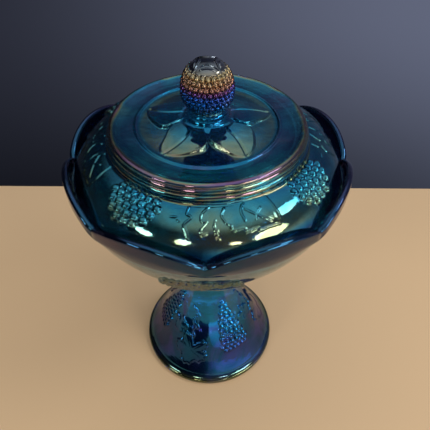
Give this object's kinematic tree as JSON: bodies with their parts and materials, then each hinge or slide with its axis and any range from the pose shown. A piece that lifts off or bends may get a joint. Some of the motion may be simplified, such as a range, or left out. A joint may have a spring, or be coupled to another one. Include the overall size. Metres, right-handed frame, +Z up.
{
  "type": "covered compote bowl",
  "caption": "Tall footed glass bowl with a scalloped rim, an eight-sided stem, grape and leaf relief, and a lift-off lid with a berry knob.",
  "frame": {"origin": "centre of the foot, on the plane that the foot rests on", "axes": "+Z up along the axis of the stem; -Y is the front, towards a notch of the scalloped rim; +X to the right seen from the front"},
  "size_m": [0.1666, 0.1666, 0.254],
  "materials": {
    "bowl_glass": "glossy iridescent blue-green pressed glass",
    "pedestal_glass": "glossy iridescent blue pressed glass with a dark foot rim",
    "lid_glass": "glossy iridescent teal pressed glass with green and violet sheen",
    "knob_glass": "glossy iridescent glass, bronze over blue"
  },
  "bodies": {
    "base": {"bowl": "bowl_glass", "pedestal": "pedestal_glass"},
    "cover": {"lid": "lid_glass", "knob": "knob_glass"}
  },
  "joints": [
    {"name": "lid_lift", "type": "slide", "parent": "base", "child": "cover", "axis": [0, 0, 1], "range_m": [0, 0.1]}
  ]
}
